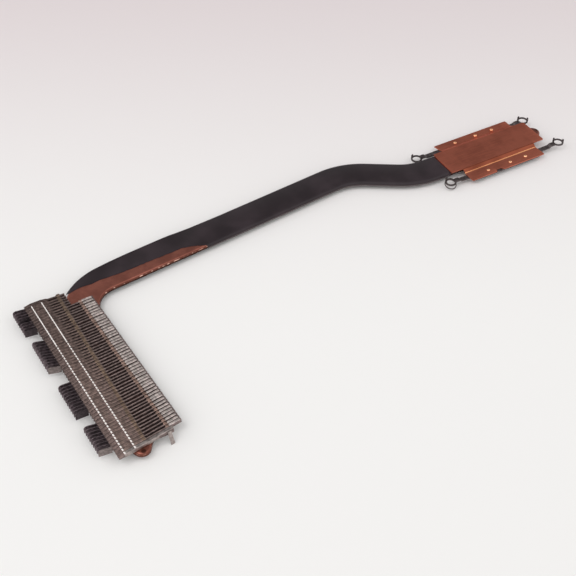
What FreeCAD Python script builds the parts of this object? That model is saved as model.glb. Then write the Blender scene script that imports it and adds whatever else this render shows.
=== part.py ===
import FreeCAD, Part
import math
import os
import re
import Sketcher

# Laptop processor heatsink: a flattened heat pipe runs from a sprung contact block to a stack of
# folded fins. Millimetres. The origin is the centre of the face that presses on the processor,
# X runs along the cover plate away from the fins, Z points away from the processor.

SIZES = {
    # Contact block, a copper slug under the pipe.
    "block_length": 26.0,
    "block_width": 13.0,
    "block_thick": 1.2,
    "block_chamfer": 0.2,
    # Heat pipe, flattened from round tube.
    "pipe_width": 11.1,
    "pipe_thick": 1.8,
    "pipe_edge": 0.85,
    "pipe_foot": 0.6,
    "nose_width": 5.2,
    "nose_taper": 7.0,
    "nose_shoulder": 6.0,
    # Route of the pipe's centre line from the contact block to the fins.
    "nose_reach": 2.5,
    "nose_side": 0.7,
    "bend_start": 32.0,
    "bend_side": 0.8,
    "step_run": 21.3,
    "step_side": 13.85,
    "main_run": 105.8,
    "main_drop": 9.85,
    "leg_run": 69.4,
    "leg_lean": 6.3,
    "step_radius": 22.0,
    "corner_radius": 13.0,
    # Black film round the top of the pipe.
    "film_thick": 0.1,
    "film_bevel": 0.5,
    "film_skirt": 0.55,
    "film_gap": 0.2,
    "film_full": 112.6,
    "film_slant": 18.9,
    "film_tip": 4.3,
    "film_dip": 0.8,
    # Cover plate, a hat section over the pipe.
    "plate_length": 40.6,
    "plate_sheet": 0.3,
    "crown_near": 5.3,
    "crown_far": 6.6,
    "wall_run": 1.5,
    "hat_depth": 1.0,
    "flange_length": 31.4,
    "flange_reach": 11.55,
    "plate_corner": 1.0,
    "notch_place": -3.5,
    "notch_width": 3.2,
    "notch_depth": 0.9,
    # Spring arms under the flanges.
    "arm_sheet": 0.4,
    "arm_width": 1.8,
    "joggle": 0.5,
    "joggle_run": 0.8,
    "joggle_place": 3.9,
    "rail_length": 28.0,
    "rail_inner": 7.5,
    "rail_outer": 11.4,
    "screw_spacing": 47.8,
    "screw_rows": 17.0,
    "near_shift": 0.8,
    "far_shift": -2.3,
    "ring_outer": 4.0,
    "ring_bore": 2.9,
    "prong_height": 0.9,
    "prong_width": 0.8,
    "prong_sheet": 0.45,
    "prong_turn": 120.0,
    "prong_spread": 146.0,
    # Rivets through the flanges and the arms.
    "rivet_line": 9.5,
    "rivet_pitch": 8.25,
    "rivet_near": 0.95,
    "rivet_far": -0.25,
    "rivet_mid": 1.15,
    "rivet_shank": 1.0,
    "rivet_head": 1.7,
    "rivet_top": 0.9,
    "rivet_crown": 0.4,
    "rivet_fit": 0.02,
    # Wire retainer under one screw ring.
    "wire": 0.35,
    "wire_ring": 4.4,
    "wire_tilt": 16.0,
    # Fin sheets.
    "fin_sheet": 0.2,
    "fin_pitch": 1.2,
    "fin_gap": 0.04,
    "fin_seam": 0.3,
    "fin_depth": 20.5,
    "fin_height": 1.3,
    "short_depth": 13.4,
    "end_depth": 17.4,
    "ridge_start": 2.5,
    "ridge_width": 3.3,
    "ridge_fall": 2.4,
    "ridge_rise": 0.3,
    "brow_drop": 0.2,
    "lip_width": 1.5,
    "lip_drop": 0.8,
    "slot_start": 9.6,
    "slot_end": 15.9,
    "stack_turn": 2.7,
    "stack_side": 7.44,
    "stack_inset": 1.0,
    # Exhaust tabs on groups of fins.
    "tab_length": 4.0,
    "tab_height": 2.8,
    "tab_drop": 1.6,
    "tab_round": 1.1,
    "tab_sweep_a": 9.0,
    "tab_sweep_b": 19.0,
    "tab_sweep_c": 7.0,
    "tab_sweep_d": 15.0,
    # Fins in each group, from the near end of the stack.
    "plain_count_d": 3,
    "tab_count_d": 9,
    "plain_count_c": 4,
    "tab_count_c": 11,
    "plain_count_b": 5,
    "tab_count_b": 11,
    "plain_count_a": 4,
    "tab_count_a": 4,
    "short_count": 5,
    # Leg splayed down from the end fin.
    "leg_width": 1.2,
    "leg_thick": 0.4,
    "leg_place": 16.8,
    "leg_splay": 2.0,
}

doc = FreeCAD.newDocument("laptop_heatsink")
sheet = doc.addObject("Spreadsheet::Sheet", "sizes")
for line, (alias, value) in enumerate(SIZES.items(), start=1):
    sheet.set(f"A{line}", alias)
    sheet.set(f"B{line}", str(value))
    sheet.setAlias(f"B{line}", alias)
doc.recompute()


def cell(text):
    """The expression text with each size named as a cell of the sheet."""
    return re.sub(r"[a-z_]+", lambda word: f"sizes.{word[0]}" if word[0] in SIZES else word[0], text)


def number(text):
    """The value of an expression over the sheet's sizes."""
    return float(sheet.evalExpression(cell(text)))


def point(x, y, z="0"):
    return FreeCAD.Vector(number(x), number(y), number(z))


# Levels above the processor.
PIPE_BOTTOM = "block_thick"
PIPE_TOP = "(block_thick + pipe_thick)"
PIPE_MID = "(block_thick + pipe_thick / 2)"
FLANGE_BOTTOM = f"({PIPE_TOP} - hat_depth)"
FLANGE_TOP = f"({FLANGE_BOTTOM} + plate_sheet)"
ARM_BOTTOM = f"({FLANGE_BOTTOM} - arm_sheet)"
RING_BOTTOM = f"({ARM_BOTTOM} + joggle)"
FIN_TOP = f"({PIPE_TOP} + fin_height)"
RIDGE_TOP = f"({FIN_TOP} + ridge_rise)"
BROW_TOP = f"({FIN_TOP} - brow_drop)"

# Corners of the pipe's centre line.
STEP_X = "(-bend_start - step_run)"
CORNER_X = f"({STEP_X} - main_run)"
CORNER_Y = "(step_side - main_drop)"
END_X = f"({CORNER_X} - leg_lean)"
END_Y = f"({CORNER_Y} - leg_run)"

# The stack hangs on the end of the pipe: the exhaust corner of its end fin.
STACK_X = f"({END_X} - stack_side)"
STACK_Y = f"({END_Y} + stack_inset)"


def new_body(label):
    body = doc.addObject("PartDesign::Body", label)
    body.Label = label
    return body


def origin_part(body, role):
    return next(part for part in body.Origin.OriginFeatures if part.Role == role)


def new_sketch(body, name, plane, offset="0"):
    """A sketch on one of the body's own origin planes, moved along the plane's normal."""
    sketch = body.newObject("Sketcher::SketchObject", name)
    sketch.AttachmentSupport = [(origin_part(body, plane), "")]
    sketch.MapMode = "FlatFace"
    sketch.setExpression("AttachmentOffset.Base.z", cell(offset))
    return sketch


def add_polygon(sketch, corners):
    """A closed outline whose corners are each tied to the sheet."""
    first = sketch.GeometryCount
    spots = [point(x, y) for x, y in corners]
    for here, there in zip(spots, spots[1:] + spots[:1]):
        sketch.addGeometry(Part.LineSegment(here, there), False)
    for index, (x, y) in enumerate(corners):
        following = first + (index + 1) % len(corners)
        sketch.addConstraint(Sketcher.Constraint("Coincident", first + index, 2, following, 1))
        for kind, text in (("DistanceX", x), ("DistanceY", y)):
            tie = Sketcher.Constraint(kind, -1, 1, first + index, 1, number(text))
            sketch.setExpression(f"Constraints[{sketch.addConstraint(tie)}]", cell(text))


def add_circle(sketch, x, y, diameter):
    outline = Part.Circle(point(x, y), FreeCAD.Vector(0, 0, 1), number(diameter) / 2)
    round_edge = sketch.addGeometry(outline, False)
    for kind, text in (("DistanceX", x), ("DistanceY", y)):
        tie = Sketcher.Constraint(kind, -1, 1, round_edge, 3, number(text))
        sketch.setExpression(f"Constraints[{sketch.addConstraint(tie)}]", cell(text))
    size = Sketcher.Constraint("Diameter", round_edge, number(diameter))
    sketch.setExpression(f"Constraints[{sketch.addConstraint(size)}]", cell(diameter))


def rectangle(x_low, x_high, y_low, y_high):
    return [(x_low, y_low), (x_high, y_low), (x_high, y_high), (x_low, y_high)]


def new_pad(body, sketch, length, reverse=False, both_ways=False):
    pad = body.newObject("PartDesign::Pad", f"{sketch.Name}_pad")
    pad.Profile = sketch
    pad.setExpression("Length", cell(length))
    pad.Reversed = reverse
    pad.Midplane = both_ways
    doc.recompute()
    return pad


def new_pocket(body, sketch, length):
    before = body.Shape.Volume
    pocket = body.newObject("PartDesign::Pocket", f"{sketch.Name}_cut")
    pocket.Profile = sketch
    pocket.setExpression("Length", cell(length))
    doc.recompute()
    if body.Shape.Volume >= before:
        raise RuntimeError(f"{pocket.Name} cuts nothing")
    return pocket


def revolve(body, sketch):
    """A full turn of the sketch about its upright axis."""
    turn = body.newObject("PartDesign::Revolution", f"{sketch.Name}_turn")
    turn.Profile = sketch
    turn.ReferenceAxis = (sketch, ["V_Axis"])
    turn.Angle = 360
    doc.recompute()
    return turn


def dress(body, base, kind, edges, size_name, size):
    """A Fillet or Chamfer on the edges of base that the test picks out."""
    feature = body.newObject(f"PartDesign::{kind}", f"{base.Name}_{kind.lower()}")
    names = [f"Edge{index}" for index, edge in enumerate(base.Shape.Edges, start=1) if edges(edge)]
    feature.Base = (base, names)
    feature.setExpression(size_name, cell(size))
    doc.recompute()
    return feature


def lies_at(axis, text):
    """A test for edges that lie in the plane where the given axis has the given value."""
    level = number(text)

    def test(edge):
        low = getattr(edge.BoundBox, f"{axis}Min")
        high = getattr(edge.BoundBox, f"{axis}Max")
        return abs(low - level) < 1e-4 and abs(high - level) < 1e-4

    return test


# Contact block.
block = new_body("contact_block")
block_plan = new_sketch(block, "block_plan", "XY_Plane")
half_length, half_width = "block_length / 2", "block_width / 2"
add_polygon(block_plan, rectangle(f"-{half_length}", half_length, f"-{half_width}", half_width))
block_pad = new_pad(block, block_plan, "block_thick")
dress(block, block_pad, "Chamfer", lies_at("Z", "0"), "Size", "block_chamfer")


# Heat pipe. Its plan is a band of even width along the centre line, drawn down to a round nose
# at both ends.
ROUTE = [
    ("plate_length / 2 + nose_reach", "nose_side"),
    ("-bend_start", "bend_side"),
    (STEP_X, "step_side"),
    (CORNER_X, CORNER_Y),
    (END_X, END_Y),
]
TURN_RADII = ["step_radius", "step_radius", "corner_radius"]


def turned(vector):
    """The vector turned a quarter to the left in plan."""
    return FreeCAD.Vector(-vector.y, vector.x, 0)


def rounded(corners):
    """Lines and tangent arcs through (point, radius) corners. The first and last have no radius."""
    edges = []
    last = corners[0][0]
    for (before, _), (corner, radius), (after, _) in zip(corners, corners[1:], corners[2:]):
        way_in = (corner - before).normalize()
        way_out = (after - corner).normalize()
        bend = math.atan2(way_in.cross(way_out).z, way_in.dot(way_out))
        hand = math.copysign(1, bend)
        setback = radius * math.tan(abs(bend) / 2)
        middle = corner - way_in * setback + turned(way_in) * hand * radius
        crest = middle - (turned(way_in) + turned(way_out)).normalize() * hand * radius
        edges.append(Part.LineSegment(last, corner - way_in * setback))
        last = corner + way_out * setback
        edges.append(Part.Arc(edges[-1].EndPoint, crest, last))
    return edges + [Part.LineSegment(last, corners[-1][0])]


def nose_corners(tip, way, side, half_width, margin):
    """Where the taper leaves the round nose, and the shoulder where it meets the full width."""
    nose = number("nose_width / 2")
    taper = number("nose_taper") - nose
    swing = math.atan2(half_width, taper) + math.acos((nose + margin) / math.hypot(taper, half_width))
    middle = tip + way * nose
    across = turned(way) * side
    leave = middle + (way * math.cos(swing) + across * math.sin(swing)) * (nose + margin)
    return leave, middle + way * taper + across * half_width


def band_side(side, margin):
    """Edges of one side of the pipe in plan, from the start of the route to its end."""
    half_width = number("pipe_width / 2") + margin
    shoulder = number("nose_shoulder") + margin
    spots = [point(x, y) for x, y in ROUTE]
    ways = [(there - here).normalize() for here, there in zip(spots, spots[1:])]
    start, start_shoulder = nose_corners(spots[0], ways[0], side, half_width, margin)
    end, end_shoulder = nose_corners(spots[-1], ways[-1] * -1, -side, half_width, margin)
    corners = [(start, 0), (start_shoulder, shoulder)]
    for spot, before, after, radius in zip(spots[1:], ways, ways[1:], TURN_RADII):
        mitre = (turned(before) + turned(after)) * (side * half_width / (1 + before.dot(after)))
        hand = math.copysign(1, before.cross(after).z)
        corners.append((spot + mitre, number(radius) - side * hand * half_width))
    return rounded(corners + [(end_shoulder, shoulder), (end, 0)])


def add_band(sketch, margin):
    """The outline of the pipe in plan, set out all round by the margin."""
    left = band_side(1, margin)
    right = band_side(-1, margin)
    first, second = point(*ROUTE[0]), point(*ROUTE[1])
    last, previous = point(*ROUTE[-1]), point(*ROUTE[-2])
    near_tip = first - (second - first).normalize() * margin
    far_tip = last - (previous - last).normalize() * margin
    noses = [
        Part.Arc(left[0].StartPoint, near_tip, right[0].StartPoint),
        Part.Arc(left[-1].EndPoint, far_tip, right[-1].EndPoint),
    ]
    sketch.addGeometry(left + right + noses, False)


pipe = new_body("heat_pipe")
pipe_plan = new_sketch(pipe, "pipe_plan", "XY_Plane", PIPE_BOTTOM)
add_band(pipe_plan, 0.0)
pipe_pad = new_pad(pipe, pipe_plan, "pipe_thick")
pipe_round = dress(pipe, pipe_pad, "Fillet", lies_at("Z", PIPE_TOP), "Radius", "pipe_edge")
dress(pipe, pipe_round, "Chamfer", lies_at("Z", PIPE_BOTTOM), "Size", "pipe_foot")


# Film, wrapped over the top of the pipe and down its sides. Past film_full it covers the far
# half only.
def main_run_y(x):
    """The centre line's Y on the long straight run."""
    return f"({CORNER_Y} + ({x} - {CORNER_X}) * main_drop / main_run)"


FILM_END_X = "(-plate_length / 2 - film_gap)"
FILM_TIP_X = f"({CORNER_X} - film_tip)"
FILM_CUT_X = "(-film_full - film_slant)"
FILM_FAR_Y = "(step_side + pipe_width)"

film_skin = new_body("film_skin")
film_plan = new_sketch(film_skin, "film_plan", "XY_Plane", f"{PIPE_MID} - film_skirt")
add_band(film_plan, number("film_thick"))
film_pad = new_pad(film_skin, film_plan, "pipe_thick / 2 + film_skirt + film_thick")
dress(film_skin, film_pad, "Chamfer", lies_at("Z", f"{PIPE_TOP} + film_thick"), "Size", "film_bevel")

film_area = new_body("film_area")
film_cut = new_sketch(film_area, "film_cut", "XY_Plane", PIPE_BOTTOM)
add_polygon(film_cut, [
    (FILM_TIP_X, FILM_FAR_Y),
    (FILM_TIP_X, f"{CORNER_Y} - film_dip"),
    (FILM_CUT_X, main_run_y(FILM_CUT_X)),
    ("-film_full", f"{main_run_y('-film_full')} - pipe_width / 2"),
    ("-film_full", "-pipe_width"),
    (FILM_END_X, "-pipe_width"),
    (FILM_END_X, FILM_FAR_Y),
])
new_pad(film_area, film_cut, "pipe_thick * 2")

film_shell = doc.addObject("Part::Cut", "film_shell")
film_shell.Base = film_skin
film_shell.Tool = pipe
film = doc.addObject("Part::Common", "pipe_film")
film.Label = "pipe_film"
film.Base = film_shell
film.Tool = film_area


# Cover plate: the crown lies on the pipe, the walls slope down to a flange on each side.
NEAR_FOOT = "(crown_near + wall_run)"
FAR_FOOT = "(crown_far + wall_run)"
FOLD = "(plate_sheet * tan(atan(hat_depth / wall_run) / 2))"
CROWN_TOP = f"({PIPE_TOP} + plate_sheet)"

plate = new_body("cover_plate")
hat = new_sketch(plate, "hat_profile", "YZ_Plane")
add_polygon(hat, [
    ("-flange_reach", FLANGE_BOTTOM),
    (f"-{NEAR_FOOT}", FLANGE_BOTTOM),
    ("-crown_near", PIPE_TOP),
    ("crown_far", PIPE_TOP),
    (FAR_FOOT, FLANGE_BOTTOM),
    ("flange_reach", FLANGE_BOTTOM),
    ("flange_reach", FLANGE_TOP),
    (f"{FAR_FOOT} + {FOLD}", FLANGE_TOP),
    (f"crown_far + {FOLD}", CROWN_TOP),
    (f"-crown_near - {FOLD}", CROWN_TOP),
    (f"-{NEAR_FOOT} - {FOLD}", FLANGE_TOP),
    ("-flange_reach", FLANGE_TOP),
])
new_pad(plate, hat, "flange_length", both_ways=True)
crown = new_sketch(plate, "crown_plan", "XY_Plane", PIPE_TOP)
crown_end = "plate_length / 2"
add_polygon(crown, rectangle(f"-{crown_end}", crown_end, "-crown_near", "crown_far"))
crown_pad = new_pad(plate, crown, "plate_sheet")


def is_outer_corner(edge):
    """The upright edges at the outer corners of the crown and of both flanges."""
    box = edge.BoundBox
    upright = box.XLength < 1e-4 and box.YLength < 1e-4
    on_crown = abs(abs(box.Center.x) - number("plate_length / 2")) < 1e-4
    on_flange = abs(abs(box.Center.y) - number("flange_reach")) < 1e-4
    return upright and (on_crown or on_flange)


dress(plate, crown_pad, "Fillet", is_outer_corner, "Radius", "plate_corner")

# Notch in the edge of the near flange.
notch = new_sketch(plate, "edge_notch", "XY_Plane", FLANGE_TOP)
notch_top = "notch_depth - flange_reach"
add_polygon(notch, [
    ("notch_place - notch_width / 2", "-flange_reach - notch_depth / 9"),
    ("notch_place + notch_width / 2", "-flange_reach - notch_depth / 9"),
    ("notch_place + notch_width / 6", notch_top),
    ("notch_place - notch_width / 6", notch_top),
])
new_pocket(plate, notch, "plate_sheet")


def rivet_spots(side):
    """Places of the three rivets on the near (-1) or far (1) side."""
    row = "rivet_near" if side < 0 else "rivet_far"
    across = f"{side} * rivet_line"
    return [(f"{row} + {step}", across) for step in ("-1 * rivet_pitch", "rivet_mid", "rivet_pitch")]


def cut_rivet_holes(body, name, sides, top, depth):
    """Holes for the rivets, downwards from the given level."""
    holes = new_sketch(body, name, "XY_Plane", top)
    for side in sides:
        for x, y in rivet_spots(side):
            add_circle(holes, x, y, "rivet_shank + 2 * rivet_fit")
    new_pocket(body, holes, depth)


cut_rivet_holes(plate, "plate_holes", (-1, 1), FLANGE_TOP, "plate_sheet")


# Spring arms: a riveted rail, a strip that steps up to both screw rings, and two prongs on each
# ring.
def add_prongs(body, name, x, y):
    for index, turn in enumerate(("prong_turn", "(prong_turn - prong_spread)")):
        prong = new_sketch(body, f"{name}_prong_{index}", "XY_Plane", RING_BOTTOM)
        corners = []
        for out, along in ((0, -1), (1, -1), (1, 1), (0, 1)):
            reach = f"(ring_outer / 2 - prong_sheet * {1 - out})"
            swing = f"({along} * prong_width / 2)"
            corners.append((
                f"{x} + {reach} * cos({turn}) - {swing} * sin({turn})",
                f"{y} + {reach} * sin({turn}) + {swing} * cos({turn})",
            ))
        add_polygon(prong, corners)
        new_pad(body, prong, "arm_sheet + prong_height")


def make_arm(label, side, shift):
    body = new_body(label)
    row_y = f"({side} * screw_rows / 2)"
    ring_xs = (f"({shift} - screw_spacing / 2)", f"({shift} + screw_spacing / 2)")
    inner, outer = sorted((f"{side} * rail_inner", f"{side} * rail_outer"), key=number)
    rail = new_sketch(body, f"{label}_rail", "XY_Plane", ARM_BOTTOM)
    add_polygon(rail, rectangle("-rail_length / 2", "rail_length / 2", inner, outer))
    new_pad(body, rail, "arm_sheet")
    strip = new_sketch(body, f"{label}_strip", "XZ_Plane", f"-{row_y}")
    step_out, step_in = "joggle_place - joggle_run / 2", "joggle_place + joggle_run / 2"
    low, high = ring_xs
    under = [
        (low, RING_BOTTOM),
        (f"{low} + {step_out}", RING_BOTTOM),
        (f"{low} + {step_in}", ARM_BOTTOM),
        (f"{high} - ({step_in})", ARM_BOTTOM),
        (f"{high} - ({step_out})", RING_BOTTOM),
        (high, RING_BOTTOM),
    ]
    over = [(x, f"{z} + arm_sheet") for x, z in reversed(under)]
    add_polygon(strip, under + over)
    new_pad(body, strip, "arm_width", both_ways=True)
    rings = new_sketch(body, f"{label}_rings", "XY_Plane", RING_BOTTOM)
    bores = new_sketch(body, f"{label}_bores", "XY_Plane", f"{RING_BOTTOM} + arm_sheet")
    for x in ring_xs:
        add_circle(rings, x, row_y, "ring_outer")
        add_circle(bores, x, row_y, "ring_bore")
    new_pad(body, rings, "arm_sheet")
    for x, end in zip(ring_xs, ("low", "high")):
        add_prongs(body, f"{label}_{end}", x, row_y)
    new_pocket(body, bores, "arm_sheet")
    cut_rivet_holes(body, f"{label}_holes", (side,), FLANGE_BOTTOM, "arm_sheet")
    return body


near_arm = make_arm("near_spring_arm", -1, "near_shift")
far_arm = make_arm("far_spring_arm", 1, "far_shift")


# Rivets: a raised head above the flange, flush under the arm.
rivets = new_body("rivets")
for number_in_set, (x, y) in enumerate(rivet_spots(-1) + rivet_spots(1)):
    rivet = new_sketch(rivets, f"rivet_{number_in_set}", "XZ_Plane", f"-1 * ({y})")
    rivet.setExpression("AttachmentOffset.Base.x", cell(x))
    add_polygon(rivet, [
        ("0", ARM_BOTTOM),
        ("rivet_shank / 2", ARM_BOTTOM),
        ("rivet_shank / 2", FLANGE_TOP),
        ("rivet_head / 2", FLANGE_TOP),
        ("rivet_top / 2", f"{FLANGE_TOP} + rivet_crown"),
        ("0", f"{FLANGE_TOP} + rivet_crown"),
    ])
    revolve(rivets, rivet)


def repeat(body, name, axis, spacing, count):
    """Copies of the whole body so far along one of its axes."""
    pattern = body.newObject("PartDesign::LinearPattern", name)
    pattern.TransformMode = "Whole shape"
    pattern.Direction = (origin_part(body, axis), [""])
    pattern.Mode = "Spacing"
    pattern.setExpression("Offset", cell(spacing))
    pattern.setExpression("Occurrences", cell(count))
    body.Tip = pattern
    doc.recompute()
    return pattern


# Wire retainer, hung under the near arm's ring on the fin side.
WIRE_RADIUS = "((wire_ring - wire) / 2)"
WIRE_Z = f"{RING_BOTTOM} - wire / 2 - {WIRE_RADIUS} * sin(wire_tilt)"
retainer = new_body("screw_retainer")
wire_section = new_sketch(retainer, "wire_section", "XZ_Plane")
add_polygon(wire_section, [
    (f"{WIRE_RADIUS} + wire / 2 * cos({turn})", f"wire / 2 * sin({turn})") for turn in range(0, 360, 45)
])
revolve(retainer, wire_section)
retainer.Placement = FreeCAD.Placement(
    point("near_shift - screw_spacing / 2", "-screw_rows / 2", WIRE_Z),
    FreeCAD.Rotation(FreeCAD.Vector(1, 0, 0), number("wire_tilt")),
)


# Fins: an upright sheet with flanges folded towards +Y over its top and along its foot. Each is
# drawn with its exhaust edge on the Z axis, and the whole stack is turned a little in plan.
RIDGE_END = "(ridge_start + ridge_width + ridge_fall)"
LIP_Z = f"({PIPE_TOP} - lip_drop)"
CREST = [
    ("0", BROW_TOP),
    ("ridge_start", RIDGE_TOP),
    ("ridge_start + ridge_width", RIDGE_TOP),
    (RIDGE_END, FIN_TOP),
]


def add_flange(body, name, line, gap):
    """A flange whose upper face follows the line of (x, z) corners, up to a gap at the next fin."""
    strip = new_sketch(body, name, "XZ_Plane")
    under = [(x, f"{z} - fin_sheet") for x, z in reversed(line)]
    add_polygon(strip, line + under)
    new_pad(body, strip, f"fin_pitch - {gap}", reverse=True)


def add_tab(body, name, sweep):
    """The exhaust tab, swept in plan and rounded at its upper outer corner."""
    side_x = f"(fin_sheet * sin({sweep}))"
    side_y = f"(fin_sheet * cos({sweep}))"
    out_x = f"(tab_length * cos({sweep}))"
    out_y = f"(tab_length * sin({sweep}))"
    plan = new_sketch(body, name, "XY_Plane", f"{PIPE_TOP} - tab_drop")
    add_polygon(plan, [
        ("0", "0"),
        (side_x, side_y),
        (f"{side_x} - {out_x}", f"{side_y} + {out_y}"),
        (f"-{out_x}", out_y),
    ])
    tab = new_pad(body, plan, "tab_height")
    at_top = lies_at("Z", f"{PIPE_TOP} - tab_drop + tab_height")
    past_middle = number(f"-{out_x} / 2")

    def is_tip(edge):
        return at_top(edge) and edge.BoundBox.XMax < past_middle

    dress(body, tab, "Fillet", is_tip, "Radius", "tab_round")


def make_fins(label, before, count, depth="fin_depth", sweep=None, closed=False):
    """A row of like fins that starts after the fins named in before."""
    body = new_body(label)
    web = new_sketch(body, f"{label}_web", "XZ_Plane")
    foot_line = [(depth, PIPE_TOP), ("lip_width", PIPE_TOP), ("lip_width", LIP_Z), ("0", LIP_Z)]
    add_polygon(web, CREST + [(depth, FIN_TOP)] + foot_line)
    new_pad(body, web, "fin_sheet", reverse=True)
    crest_end = depth if closed else "slot_start"
    add_flange(body, f"{label}_crest", CREST + [(crest_end, FIN_TOP)], "fin_seam")
    if depth == "fin_depth" and not closed:
        add_flange(body, f"{label}_inlet", [("slot_end", FIN_TOP), (depth, FIN_TOP)], "fin_seam")
    foot_top = f"({PIPE_TOP} + fin_sheet)"
    add_flange(body, f"{label}_foot", [("lip_width", foot_top), (depth, foot_top)], "fin_gap")
    if sweep:
        add_tab(body, f"{label}_tab", sweep)
    repeat(body, f"{label}_row", "Y_Axis", "fin_pitch", count)
    along = f"fin_pitch * ({' + '.join(['0'] + before)})"
    body.Placement.Rotation = FreeCAD.Rotation(FreeCAD.Vector(0, 0, 1), number("stack_turn"))
    body.setExpression("Placement.Rotation.Angle", cell("stack_turn"))
    body.setExpression("Placement.Base.x", cell(f"{STACK_X} - {along} * sin(stack_turn)"))
    body.setExpression("Placement.Base.y", cell(f"{STACK_Y} + {along} * cos(stack_turn)"))
    return body


end_fin = make_fins("end_fin", [], "1", depth="end_depth", closed=True)
stack = [end_fin]
passed = ["1"]
for letter in "dcba":
    plain_count = f"plain_count_{letter}"
    tab_count = f"tab_count_{letter}"
    stack.append(make_fins(f"plain_fins_{letter}", passed, plain_count))
    passed = passed + [plain_count]
    stack.append(make_fins(f"tab_fins_{letter}", passed, tab_count, sweep=f"tab_sweep_{letter}"))
    passed = passed + [tab_count]
stack.append(make_fins("short_fins", passed, "short_count", depth="short_depth", sweep="tab_sweep_a"))

# Leg of the end fin, splayed down to the board.
leg = new_sketch(end_fin, "leg_profile", "YZ_Plane", "leg_place - leg_width / 2")
leg_foot = "(leg_splay + leg_thick)"
add_polygon(leg, [
    ("0", FIN_TOP),
    (f"-{leg_foot}", "0"),
    ("-leg_splay", "0"),
    ("0", f"{FIN_TOP} * leg_splay / {leg_foot}"),
])
end_fin.Tip = new_pad(end_fin, leg, "leg_width")

doc.recompute()
for item in doc.Objects:
    if "Invalid" in item.State or "Error" in item.State:
        raise RuntimeError(f"{item.Label} failed: {item.State}")

nodes = [block, pipe, film, plate, near_arm, far_arm, rivets, retainer] + stack
os.makedirs("parts", exist_ok=True)
for node in nodes:
    if node.Shape.isNull() or not node.Shape.isValid():
        raise RuntimeError(f"{node.Label} has no valid shape")
for node in nodes:
    node.Shape.exportStep(f"parts/{node.Label}.step")
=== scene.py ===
import math
import random

import bmesh
import bpy
from bpy.props import FloatProperty, FloatVectorProperty, IntProperty, PointerProperty
from mathutils import Matrix, Vector


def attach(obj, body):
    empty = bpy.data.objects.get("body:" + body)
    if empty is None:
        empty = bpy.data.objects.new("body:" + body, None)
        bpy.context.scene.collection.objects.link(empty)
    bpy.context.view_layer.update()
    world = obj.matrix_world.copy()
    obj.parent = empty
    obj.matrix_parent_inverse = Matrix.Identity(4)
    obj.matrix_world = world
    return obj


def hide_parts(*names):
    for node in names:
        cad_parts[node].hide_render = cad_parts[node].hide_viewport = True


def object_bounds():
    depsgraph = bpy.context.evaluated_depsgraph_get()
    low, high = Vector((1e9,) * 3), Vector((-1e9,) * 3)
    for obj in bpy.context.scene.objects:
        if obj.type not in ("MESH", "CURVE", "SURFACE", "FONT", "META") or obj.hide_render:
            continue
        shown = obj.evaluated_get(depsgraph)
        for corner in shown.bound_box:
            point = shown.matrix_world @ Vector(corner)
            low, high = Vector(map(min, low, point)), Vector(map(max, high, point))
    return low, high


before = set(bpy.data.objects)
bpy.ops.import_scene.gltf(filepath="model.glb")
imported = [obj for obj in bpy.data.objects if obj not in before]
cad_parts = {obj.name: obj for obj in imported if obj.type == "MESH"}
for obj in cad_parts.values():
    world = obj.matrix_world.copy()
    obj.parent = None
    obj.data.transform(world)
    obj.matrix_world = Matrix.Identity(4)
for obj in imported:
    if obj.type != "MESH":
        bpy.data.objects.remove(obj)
CAD_BOX = [list(corner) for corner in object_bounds()]

bl_info = {
    "name": "Laptop heatsink",
    "version": (1, 0, 0),
    "blender": (4, 5, 0),
    "location": "View3D > Sidebar > Heatsink",
    "description": "Folds a laptop heatsink's sheet parts over its CAD model and finishes the metals",
    "category": "Object",
}

MM = 0.001
# Measures closer than this are the same, in millimetres.
SAME = 0.001


# Shader nodes

def new_tree(name):
    """A fresh material's node tree and its surface shader."""
    material = bpy.data.materials.new(name)
    material.use_nodes = True
    tree = material.node_tree
    return material, tree, tree.nodes["Principled BSDF"]


def feed(tree, socket, value):
    """Gives a socket a value, or links it to another node's output."""
    if isinstance(value, bpy.types.NodeSocket):
        tree.links.new(value, socket)
    else:
        socket.default_value = value


def add_math(tree, operation, *values):
    """The result of a sum on values or other nodes' outputs."""
    node = tree.nodes.new("ShaderNodeMath")
    node.operation = operation
    for socket, value in zip(node.inputs, values):
        feed(tree, socket, value)
    return node.outputs[0]


def add_mix(tree, share, first, second):
    """A colour between two others."""
    node = tree.nodes.new("ShaderNodeMix")
    node.data_type = "RGBA"
    feed(tree, node.inputs["Factor"], share)
    feed(tree, node.inputs[6], first)
    feed(tree, node.inputs[7], second)
    return node.outputs[2]


def add_range(tree, value, low, high, to_low=0.0, to_high=1.0):
    """A value stretched from one range to another with smooth ends."""
    node = tree.nodes.new("ShaderNodeMapRange")
    node.interpolation_type = "SMOOTHSTEP"
    for socket, number in zip(node.inputs, (value, low, high, to_low, to_high)):
        feed(tree, socket, number)
    return node.outputs[0]


def add_place(tree):
    """The place on the part in the row frame, whole and split into X, Y and Z."""
    place = tree.nodes.new("ShaderNodeTexCoord").outputs["Object"]
    split = tree.nodes.new("ShaderNodeSeparateXYZ")
    tree.links.new(place, split.inputs[0])
    return place, split.outputs


def add_noise(tree, place, size, detail, stretch=(1.0, 1.0, 1.0)):
    """Noise whose spots are about the given size in metres, drawn out along an axis by stretch."""
    mapping = tree.nodes.new("ShaderNodeMapping")
    mapping.inputs["Scale"].default_value = [1.0 / (size * longer) for longer in stretch]
    tree.links.new(place, mapping.inputs["Vector"])
    node = tree.nodes.new("ShaderNodeTexNoise")
    node.inputs["Scale"].default_value = 1.0
    node.inputs["Detail"].default_value = detail
    tree.links.new(mapping.outputs[0], node.inputs["Vector"])
    return node.outputs["Fac"]


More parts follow.
